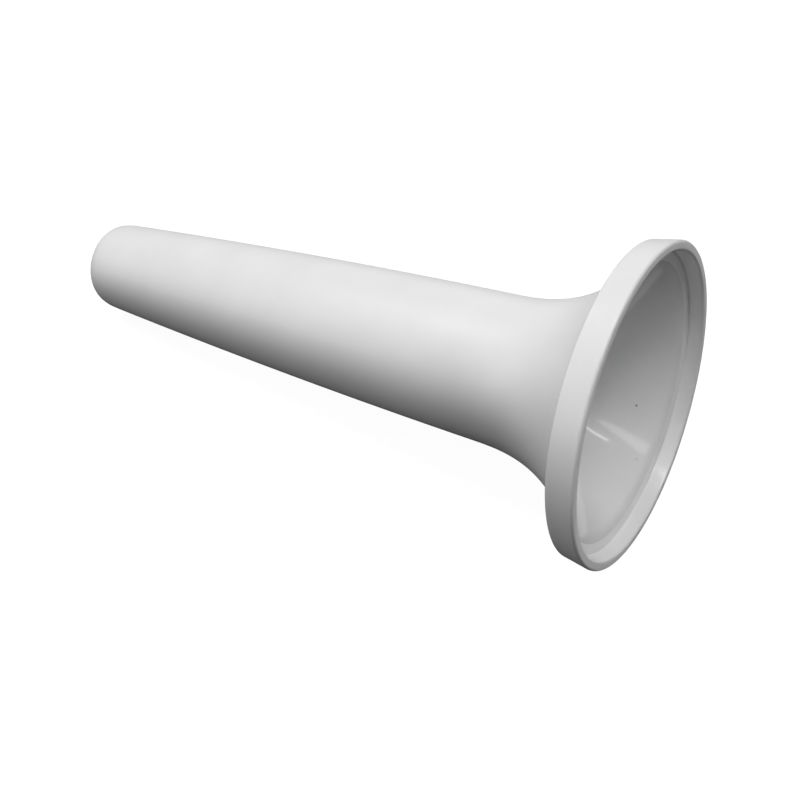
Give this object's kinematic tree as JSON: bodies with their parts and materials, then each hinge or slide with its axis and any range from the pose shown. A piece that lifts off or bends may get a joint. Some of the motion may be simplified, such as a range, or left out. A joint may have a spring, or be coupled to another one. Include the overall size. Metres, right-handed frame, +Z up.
{
  "type": "filling funnel",
  "caption": "Moulded plastic funnel with a long tapered tube, a short flare, a flanged collar around a stepped mouth and a bore that runs right through.",
  "frame": {"origin": "centre of the bottom of the bounding box, on the surface that the funnel lies on", "axes": "+X along the funnel, from the outlet to the mouth, along the ground; the mouth's axis rises 9 degrees above +X because the wide collar and the narrow outlet both touch the ground; +Z up; XZ is the plane of symmetry"},
  "size_m": [0.14, 0.0626, 0.0617],
  "materials": {
    "plastic": "white, satin as moulded"
  },
  "bodies": {
    "root": {"funnel_body": "plastic"}
  },
  "joints": []
}
